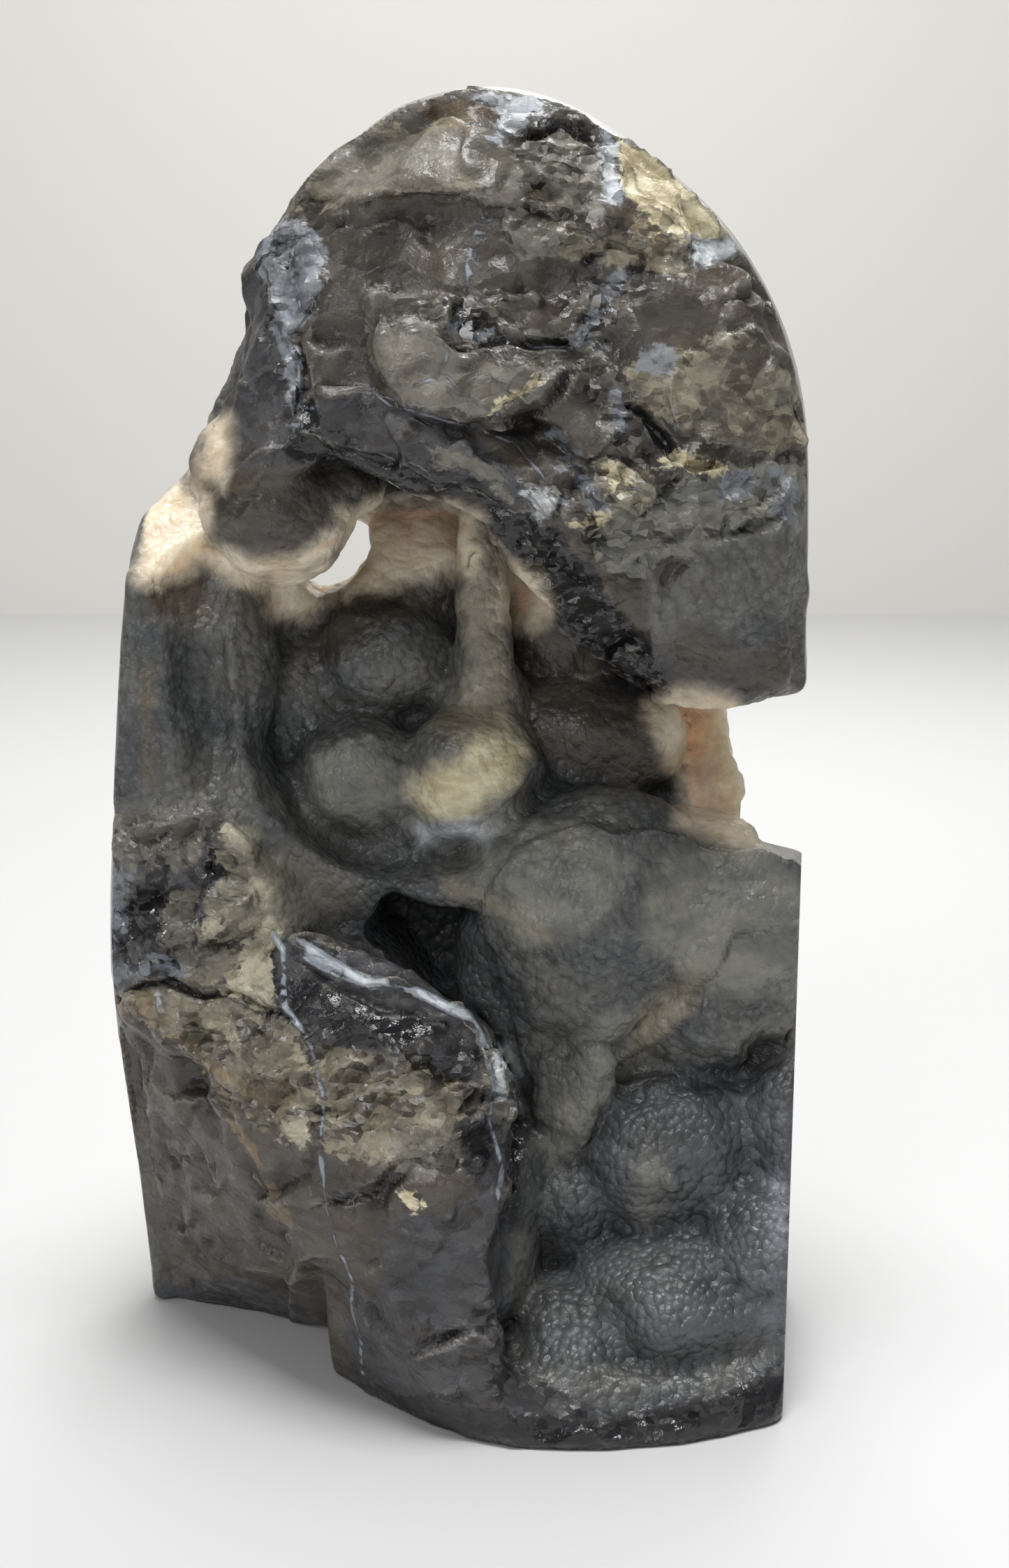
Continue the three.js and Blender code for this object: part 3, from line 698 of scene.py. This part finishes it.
# The broken faces are long towards the upper right.
LONG_WAY = np.array([[0.82, 0.0, 0.57], [0.0, 1.0, 0.0], [-0.57, 0.0, 0.82]])
STRETCH = np.array([0.7, 1.2, 1.25])

# The lower right side is sawn flat: its x at y = 0, how it turns, and the height that it reaches.
SAWN_AT, SAWN_TURN, SAWN_TOP = 41.8, 0.163, 63.0
CLEAR_CUT = 0.5  # a step whose edge has a smaller half width than this shows as a line


def crooked(points):
    """The points, moved about so that outlines drawn over them look broken."""
    return warp(warp(points, 5.0, 0.6, 75), 1.8, 0.28, 76)


def ledge_of(points):
    """How far each point is from the nearest clear-cut step, in mm: positive on its upper side."""
    x, y = in_photo(crooked(points))
    nearest = np.full(len(points), 9.0)
    for rise, edge, zone in STEPS.values():
        if edge < CLEAR_CUT:
            depth = math.copysign(1, rise) * zone(x, y) / PIXELS_PER_MM
            nearest = np.where(np.abs(depth) < np.abs(nearest), depth, nearest)
    return nearest


def steps_of(points, normals):
    """The height of the steps in mm: full at their edges, fading inwards."""
    x, y = in_photo(crooked(points))
    height = np.zeros(len(points))
    for rise, edge, zone in STEPS.values():
        depth = zone(x, y) / PIXELS_PER_MM
        height += rise * ramp(depth, -edge, edge) * (1 - 0.8 * ramp(depth, 1.5, 9))
    front = ramp(points[:, 1], BEHIND + 6, BEHIND) * ramp(-normals[:, 1], 0.0, 0.35)
    return height * front


def relief_of(points, normals):
    """How far each point is moved out, in mm."""
    rock = rock_share(points)
    polish = polish_share(points, normals)
    along = (points @ LONG_WAY.T) * STRETCH
    shattered = shattered_share(points)
    broken = (
        0.36 * scars(along, 12.0, 11, hollow=0.42, tilt=0.2)
        + 0.55 * facets(along, 7.0, 13, tilt=0.34, step=0.06, edge=0.5)
        + 0.16 * (1 - shattered) * scars(along, 4.2, 21, hollow=0.4, tilt=0.2)
        + 0.55 * shattered * facets(along, 3.4, 23, tilt=0.6, step=0.12, edge=0.55)
    )
    broken *= 0.25 + 0.75 * ramp(points[:, 2], 5.0, 14.0)  # calmer towards the base
    broken *= 1 - 0.6 * ramp(arch_reach(points), 0.88, 0.97)  # and towards the rim
    bubbly = (
        0.4 * waves(points, 13.0, 44)
        + 0.22 * waves(points, 6.0, 41, octaves=2)
        + 0.26 * grains(points, 2.7, 51) * ramp(waves(points, 12.0, 43), -0.6, 0.5)
        + 0.22 * grains(points, 1.6, 61)
    ) * (1 - 0.8 * ramp(points[:, 0], 39.5, 41.5))
    return (1 - polish) * (rock * broken + (1 - rock) * (bubbly - 0.3) + steps_of(points, normals))


# The rock keeps its crisp shape. The lining is rounded, with its lumps drawn out a little.
solid = distance_field(STONE)
crisp = blurred(solid, 0.4)
soft = blurred(solid, 1.0)
broad = blurred(solid, 2.4)
lumpy = soft + 0.5 * (soft - broad)
columns = np.stack(np.broadcast_arrays(grid_x, np.float32(-6.0), grid_z), -1).reshape(-1, 3)
column_rock = rock_share(columns).reshape(grid_count[0], 1, grid_count[2]).astype(np.float32)
crispness = column_rock * (1 - ramp(grid_y, BEHIND - 4, BEHIND + 2).astype(np.float32))
points, faces = surface_of(lumpy + (crisp - lumpy) * crispness)
normals = normals_of(points, faces)
points = points + normals * relief_of(points, normals)[:, None]
sawn = SAWN_AT + SAWN_TURN * points[:, 1]
points[:, 0] = np.where(points[:, 2] < SAWN_TOP, np.minimum(points[:, 0], sawn), points[:, 0])
points = np.clip(points, LOW, HIGH)


def made_mesh(name, points, faces):
    mesh = bpy.data.meshes.new(name)
    mesh.from_pydata((points * MM).tolist(), [], faces.tolist())
    made = bpy.data.objects.new(name, mesh)
    bpy.context.scene.collection.objects.link(made)
    return made


def thinned(piece, triangles):
    modifier = piece.modifiers.new("thin", "DECIMATE")
    modifier.ratio = triangles / len(piece.data.polygons)
    done = bpy.data.meshes.new_from_object(piece.evaluated_get(bpy.context.evaluated_depsgraph_get()))
    piece.modifiers.clear()
    piece.data = done


stone = made_mesh("agate_freeform", points, faces)
thinned(stone, TRIANGLES)
stone.data.shade_smooth()
stone.data.set_sharp_from_angle(angle=math.radians(32))

# ---- Fields for the material ----
vertices = np.empty(len(stone.data.vertices) * 3)
stone.data.vertices.foreach_get("co", vertices)
vertices = vertices.reshape(-1, 3) / MM
corners = np.empty(len(stone.data.polygons) * 3, np.int32)
stone.data.polygons.foreach_get("vertices", corners)
facing = normals_of(vertices, corners.reshape(-1, 3))


def curl_of(points, faces, normals):
    """How far each point stands out from its neighbours: positive on edges, negative in creases."""
    total, count = np.zeros_like(points), np.zeros(len(points))
    for a, b in ((0, 1), (1, 2), (2, 0)):
        for start, end in ((a, b), (b, a)):
            count += np.bincount(faces[:, start], minlength=len(points))
            for axis in range(3):
                total[:, axis] += np.bincount(faces[:, start], points[faces[:, end], axis], len(points))
    return np.sum((points - total / count[:, None]) * normals, axis=1)


def paint(name, values):
    layer = stone.data.attributes.new(name, "FLOAT", "POINT")
    layer.data.foreach_set("value", np.asarray(values, np.float32))


FAR = 5  # mm: no zone or vein shows this far out, nor on the polished back
polished = polish_share(vertices, facing)
paint("rock", rock_share(vertices))
paint("polish", polished)
seen_x, seen_y = in_photo(warp(vertices, 7.0, 0.8, 71))
behind = FAR * polished * ramp(vertices[:, 1], 0.0, 7.0)
for kind, zones in ZONES.items():
    paint(kind, np.clip(any_of(zones, seen_x, seen_y), -4, 4) - behind)
vein_x, vein_y = in_photo(warp(vertices, 4.0, 0.35, 81))
paint("vein", np.clip(vein_distance(vein_x, vein_y), -1, FAR) + behind)
# how deep in a hollow each point lies: the material turns it into painted shade
paint("hollow", sampled(broad, vertices))
# how far each point stands out: the material turns it into painted highlights on edges and painted shade in
# creases
paint("curl", np.clip(curl_of(vertices, corners.reshape(-1, 3), facing), -0.3, 0.3))
paint("shattered", shattered_share(vertices))
paint("ledge", np.clip(ledge_of(vertices), -2, 2) + 9 * ramp(vertices[:, 1], BEHIND, BEHIND + 6))
from_core = (warp(vertices, 26.0, 5.0, 91) - CORE_CENTRE) / CORE_SHAPE
paint("bands", np.linalg.norm(from_core, axis=1))


# ---- Material ----
def tone(red, green, blue):
    """A screen colour from 0 to 255 as the linear colour that a shader takes."""
    def linear(c):
        c /= 255
        return c / 12.92 if c <= 0.04045 else ((c + 0.055) / 1.055) ** 2.4
    return (linear(red), linear(green), linear(blue), 1.0)


class Nodes:
    """Short names for the nodes that the material is made of."""

    def __init__(self, name):
        self.material = bpy.data.materials.new(name)
        self.material.use_nodes = True
        self.tree = self.material.node_tree
        self.shader = self.tree.nodes["Principled BSDF"]
        self.where = self.tree.nodes.new("ShaderNodeTexCoord").outputs["Object"]

    def put(self, socket, value):
        if isinstance(value, bpy.types.NodeSocket):
            self.tree.links.new(value, socket)
        else:
            socket.default_value = value

    def field(self, name):
        node = self.tree.nodes.new("ShaderNodeAttribute")
        node.attribute_name = name
        return node.outputs["Fac"]

    def math(self, operation, first, second=0.0, third=0.0):
        node = self.tree.nodes.new("ShaderNodeMath")
        node.operation = operation
        for socket, value in zip(node.inputs, (first, second, third)):
            self.put(socket, value)
        return node.outputs[0]

    def times(self, first, second):
        return self.math("MULTIPLY", first, second)

    def plus(self, first, second):
        return self.math("ADD", first, second)

    def scaled(self, value, factor, offset):
        """value * factor + offset"""
        return self.math("MULTIPLY_ADD", value, factor, offset)

    def noise(self, size, detail=3.0, rough=0.55, where=None):
        node = self.tree.nodes.new("ShaderNodeTexNoise")
        self.put(node.inputs["Vector"], where or self.where)
        node.inputs["Scale"].default_value = 1 / (size * MM)
        node.inputs["Detail"].default_value = detail
        node.inputs["Roughness"].default_value = rough
        return node.outputs["Fac"]

    def cells(self, size, where=None, feature="F1"):
        node = self.tree.nodes.new("ShaderNodeTexVoronoi")
        node.feature = feature
        self.put(node.inputs["Vector"], where or self.where)
        node.inputs["Scale"].default_value = 1 / (size * MM)
        return node.outputs

    def vector(self, operation, first, second, third=(0, 0, 0), output=0):
        node = self.tree.nodes.new("ShaderNodeVectorMath")
        node.operation = operation
        for socket, value in zip(node.inputs, (first, second, third)):
            self.put(socket, value)
        return node.outputs[output]

    def broken(self, size, tilt, where):
        """Broken faces as tilted planes: a number of its own for each, and the height in mm."""
        cell = self.cells(size, where)
        away = self.vector("SUBTRACT", where, cell["Position"])
        lean = self.vector("MULTIPLY_ADD", cell["Color"], (2 * tilt,) * 3, (-tilt,) * 3)
        height = self.math("DIVIDE", self.vector("DOT_PRODUCT", away, lean, output="Value"), MM)
        return self.grey(cell["Color"]), height

    def stretched(self, scale, turn, where=None):
        node = self.tree.nodes.new("ShaderNodeMapping")
        self.put(node.inputs["Vector"], where or self.where)
        node.inputs["Scale"].default_value = scale
        node.inputs["Rotation"].default_value = turn
        return node.outputs["Vector"]

    def step(self, value, start, end, low=0.0, high=1.0):
        node = self.tree.nodes.new("ShaderNodeMapRange")
        node.interpolation_type = "SMOOTHSTEP"
        for socket, number in zip(node.inputs, (value, start, end, low, high)):
            self.put(socket, number)
        return node.outputs[0]

    def mix(self, share, under, over, mode="MIX"):
        node = self.tree.nodes.new("ShaderNodeMix")
        node.data_type = "RGBA"
        node.blend_type = mode
        self.put(node.inputs["Factor"], share)
        self.put(node.inputs[6], under)
        self.put(node.inputs[7], over)
        return node.outputs[2]

    def grey(self, colour):
        """One channel of a random colour: a number of its own for each cell."""
        node = self.tree.nodes.new("ShaderNodeSeparateColor")
        self.put(node.inputs[0], colour)
        return node.outputs[0]

    def nudged(self, size, reach):
        """The place, moved about by noise, so that cells have crooked edges."""
        noise = self.tree.nodes.new("ShaderNodeTexNoise")
        self.put(noise.inputs["Vector"], self.where)
        noise.inputs["Scale"].default_value = 1 / (size * MM)
        noise.inputs["Detail"].default_value = 1.0
        return self.vector("MULTIPLY_ADD", noise.outputs["Color"], (reach * MM,) * 3, self.where)

    def bump(self, height):
        """The normal over a height in mm."""
        node = self.tree.nodes.new("ShaderNodeBump")
        self.put(node.inputs["Height"], height)
        node.inputs["Distance"].default_value = MM
        return node.outputs["Normal"]


def agate():
    n = Nodes("agate")
    rock, polish, hollow, curl = n.field("rock"), n.field("polish"), n.field("hollow"), n.field("curl")
    shattered, ledge = n.field("shattered"), n.field("ledge")
    broad, mid, fine = n.noise(14.0, 1), n.noise(2.6, 3), n.noise(0.7, 2)
    ragged_noise = n.noise(3.4, 4, 0.68)
    marbled = n.noise(5.0, 4, 0.64, where=n.stretched((0.6, 1.0, 1.4), (0, 0.6, 0)))
    crooked = n.stretched((1.0, 0.8, 1.5), (0, 0.6, 0), n.nudged(3.0, 1.6))
    slab, slab_height = n.broken(6.0, 0.24, crooked)
    shard, shard_height = n.broken(2.8, 0.7, crooked)
    sliver, sliver_height = n.broken(1.1, 0.7, crooked)
    grains = n.cells(1.05)["Distance"]

    def layered(colour, *layers):
        """Lays colours over another, each as far as a value goes from its start to its end."""
        for value, start, end, cover, shade in layers:
            colour = n.mix(n.step(value, start, end, 0.0, cover), colour, tone(*shade))
        return colour

    # fine crystal lining: neutral to greenish grey, clouded, with painted shade in its creases and between
    # its grains
    druzy = layered(
        tone(72, 74, 76),
        (broad, 0.35, 0.65, 1.0, (102, 100, 92)),
        (mid, 0.42, 0.7, 0.4, (124, 127, 124)),
        (fine, 0.5, 0.68, 0.35, (132, 136, 136)),
        # painted shade in the creases between the grains
        (grains, 0.3, 0.8, 0.35, (42, 44, 46)),
        # painted shade in the hollows
        (hollow, 0.0, -1.3, 0.6, (34, 36, 38)),
    )

    # chert: brown-grey faces; its lighter and darker chips are partly its own tone and partly painted shade
    # and highlight on the facets, and its hollows get painted shade
    mottled, bits = n.scaled(shattered, 0.4, 0.08), n.scaled(shattered, 0.45, 0.03)
    chert = layered(
        tone(66, 59, 52),
        (marbled, 0.3, 0.7, 1.0, (98, 90, 80)),
        (slab, 0.2, 0.8, 0.4, (78, 74, 69)),
        (shard, 0.4, 0.3, mottled, (46, 43, 42)),
        (shard, 0.66, 0.76, mottled, (124, 117, 103)),
        (sliver, 0.72, 0.78, bits, (146, 141, 130)),
        (sliver, 0.26, 0.2, bits, (34, 32, 32)),
        # painted shade in the hollows
        (hollow, 0.0, -1.3, 0.7, (32, 30, 30)),
    )
    colour = n.mix(rock, druzy, chert)

    # polished back: wavy bands about the cave
    rings = n.plus(n.field("bands"), n.times(n.noise(11.0, 3), 8.0))
    wide, thin = [n.math("SINE", n.times(rings, pace)) for pace in (0.9, 4.2)]
    skin = layered(
        tone(72, 71, 69),
        (wide, -1.0, 1.0, 1.0, (112, 107, 98)),
        (thin, 0.3, 1.0, 0.3, (152, 152, 146)),
        (broad, 0.55, 0.75, 0.8, (106, 91, 74)),
    )
    colour = n.mix(polish, colour, skin)

    # painted zones: ragged, partly angular edges in the rock, soft ones on the crystal lining
    torn = n.scaled(ragged_noise, 5.0, -2.3)
    jagged = n.plus(torn, n.scaled(n.plus(shard, sliver), 0.6, -0.6))
    cloudy = n.scaled(mid, 2.4, -1.2)
    ragged = n.step(rock, 0.3, 0.7, cloudy, jagged)
    edge = n.step(rock, 0.3, 0.7, 1.6, 0.3)
    back_edge = n.times(edge, -1.0)
    streaks = n.step(n.scaled(n.plus(shard, sliver), 0.14, ragged_noise), 0.58, 0.68)
    # tone within each zone: marbled, and in the rock also facet by facet, partly as painted shade and
    # highlight on the facets
    faceted = n.scaled(n.plus(shard, slab), 0.24, n.scaled(sliver, 0.16, -0.32))
    shade = n.step(n.scaled(faceted, rock, marbled), 0.34, 0.66)

    # zone, cover, darker and lighter colour, how far broken into streaks, by how many mm grown
    for kind, cover, dark_tone, light_tone, broken, grown in (
        ("smoke", 0.7, (58, 60, 64), (92, 95, 99), 0, 0),
        ("sage", 0.75, (110, 111, 106), (145, 144, 132), 0, 0),
        ("umber", 0.8, (50, 43, 36), (88, 78, 66), 0, 0),
        ("fawn", 0.85, (118, 110, 94), (164, 155, 136), 0, 0),
        ("slate", 0.85, (50, 52, 57), (82, 84, 89), 0.3, 0),
        ("tan", 0.85, (102, 96, 83), (172, 163, 141), 0.4, 0),
        ("dark", 0.9, (24, 25, 28), (44, 44, 46), 0, 0),
        ("white", 0.6, (104, 108, 113), (148, 151, 154), 0.3, 0.4),
        ("blue", 0.85, (82, 86, 94), (142, 148, 157), 0.6, 0),
        ("mist", 0.85, (110, 115, 123), (164, 169, 177), 0.15, 0),
        ("ochre", 0.6, (98, 82, 61), (146, 125, 93), 0.5, 0),
        ("pale", 0.9, (102, 98, 89), (137, 132, 121), 0, 0),
        ("bone", 0.9, (128, 123, 109), (204, 196, 172), 0.3, 0),
        ("cream", 0.95, (198, 184, 146), (252, 241, 206), 0.1, 0),
        # beige: painted light through thin walls and into the cave, over their own beige
        ("beige", 0.95, (220, 202, 176), (248, 235, 212), 0, 0.4),
        ("white", 0.95, (160, 166, 173), (228, 232, 234), 0.25, -0.2),
    ):
        soft = kind in SOFT_ZONES
        depth = n.plus(n.plus(n.field(kind), grown), cloudy if soft else ragged)
        share = n.times(n.step(depth, -1.6 if soft else back_edge, 1.6 if soft else edge), cover)
        if broken:
            share = n.times(share, n.scaled(streaks, broken, 1 - broken))
        colour = n.mix(share, colour, n.mix(shade, tone(*dark_tone), tone(*light_tone)))

    # thin white veins
    vein = n.plus(n.field("vein"), n.scaled(n.noise(4.0, 2), 0.7, -0.3))
    colour = layered(
        colour,
        (vein, 0.4, 0.1, 0.5, (62, 66, 74)),
        (vein, 0.12, -0.06, 0.85, (160, 167, 176)),
        (vein, -0.12, -0.36, 1.0, (214, 224, 230)),
    )

    # painted shade in the creases and painted highlights on the lips along the steps; painted highlights on
    # edges that stand out and painted shade in sharp creases
    torn_ledge = n.plus(ledge, n.scaled(n.noise(1.6, 3), 1.6, -0.8))
    step_shade = n.times(n.step(torn_ledge, -0.6, -0.1), n.step(torn_ledge, 0.1, 0.0))
    step_highlight = n.times(n.step(torn_ledge, 0.0, 0.08), n.step(torn_ledge, 0.4, 0.1))
    colour = n.mix(n.times(step_shade, n.step(mid, 0.42, 0.6, 0.0, 0.6)), colour, tone(28, 27, 27))
    colour = n.mix(n.times(step_highlight, n.step(mid, 0.46, 0.62, 0.0, 0.5)), colour, tone(166, 162, 152))
    # painted highlight on edges that stand out, and painted shade in sharp creases
    edge_highlight = n.times(n.step(curl, 0.04, 0.16), n.step(rock, 0.3, 0.7, 0.12, 0.35))
    colour = n.mix(edge_highlight, colour, tone(158, 154, 144))
    colour = n.mix(n.step(curl, -0.04, -0.16, 0.0, 0.45), colour, tone(28, 27, 27))

    n.put(n.shader.inputs["Base Color"], colour)
    glassy = n.step(n.field("dark"), -0.5, 1.0, 0.0, 0.2)
    rough = n.math("SUBTRACT", n.scaled(sliver, 0.24, 0.3), glassy)
    n.put(n.shader.inputs["Roughness"], n.step(polish, 0.0, 1.0, rough, 0.24))
    n.put(n.shader.inputs["Subsurface Weight"], n.step(n.field("beige"), -0.5, 1.0, 0.0, 0.8))
    n.shader.inputs["Subsurface Radius"].default_value = (1.0, 0.82, 0.62)
    n.shader.inputs["Subsurface Scale"].default_value = 6 * MM
    n.shader.inputs["IOR"].default_value = 1.54

    # relief finer than the mesh carries, in mm
    coarse = n.step(n.field("smoke"), -1.5, 1.5, -0.2, -0.4)
    lining = n.times(n.times(grains, grains), coarse)
    chipped = n.scaled(shattered, 0.85, 0.14)
    chips = n.times(n.plus(shard_height, sliver_height), chipped)
    faces = n.plus(slab_height, chips)
    bare = n.math("SUBTRACT", 1.0, polish)
    relief = n.scaled(fine, 0.16, n.step(rock, 0.0, 1.0, lining, faces))
    n.put(n.shader.inputs["Normal"], n.bump(n.times(relief, bare)))
    return n.material


stone.data.materials.clear()
stone.data.materials.append(agate())
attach(stone, "root")
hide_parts(STONE)


# ---- Floor, light and camera ----
HALF_WIDTH, FRONT_Y, WALL_Y, WALL_TOP = 1600, -1200, 750, 1400


def panel(name, corners, colour, roughness):
    sheet = bpy.data.meshes.new(name)
    sheet.from_pydata([tuple(MM * c for c in corner) for corner in corners], [], [(0, 1, 2, 3)])
    made = bpy.data.objects.new(name, sheet)
    bpy.context.scene.collection.objects.link(made)
    finish = bpy.data.materials.new(name)
    finish.use_nodes = True
    finish.node_tree.nodes["Principled BSDF"].inputs["Base Color"].default_value = colour
    finish.node_tree.nodes["Principled BSDF"].inputs["Roughness"].default_value = roughness
    sheet.materials.append(finish)


def across(y, z):
    """The left and right ends of a level edge of the stage."""
    return [(-HALF_WIDTH, y, z), (HALF_WIDTH, y, z)]


wall_foot = across(WALL_Y, 0)
panel("floor", across(FRONT_Y, 0) + wall_foot[::-1], tone(218, 218, 218), 0.55)
panel("wall", wall_foot + across(WALL_Y, WALL_TOP)[::-1], tone(234, 232, 227), 0.8)

world = bpy.data.worlds.new("studio")
bpy.context.scene.world = world
world.use_nodes = True
world.node_tree.nodes["Background"].inputs["Color"].default_value = tone(252, 253, 255)
world.node_tree.nodes["Background"].inputs["Strength"].default_value = 0.2


def lamp(name, place, size, power, aim=(0, 0, 70)):
    light = bpy.data.lights.new(name, "AREA")
    light.energy = power
    light.size = size * MM
    made = bpy.data.objects.new(name, light)
    made.location = Vector(place) * MM
    made.rotation_euler = (Vector(aim) * MM - made.location).to_track_quat("-Z", "Y").to_euler()
    bpy.context.scene.collection.objects.link(made)


lamp("overhead", (20, -20, 900), 420, 7.6)
lamp("back", (100, 420, 420), 300, 0.75)
lamp("front_fill", (-260, -520, 420), 360, 1.1)
lamp("wall_wash", (0, 450, 500), 500, 0.45, aim=(0, 760, 250))

lens = bpy.data.cameras.new("camera")
lens.sensor_width = SENSOR
lens.lens = SENSOR * FOCAL_PIXELS / PHOTO_HEIGHT
lens.clip_start = 0.005
camera = bpy.data.objects.new("camera", lens)
camera.location = Vector(EYE) * MM
camera.rotation_euler = (math.radians(90) - PITCH, 0, 0)
bpy.context.scene.collection.objects.link(camera)
bpy.context.scene.camera = camera
bpy.context.scene.view_settings.view_transform = "Standard"
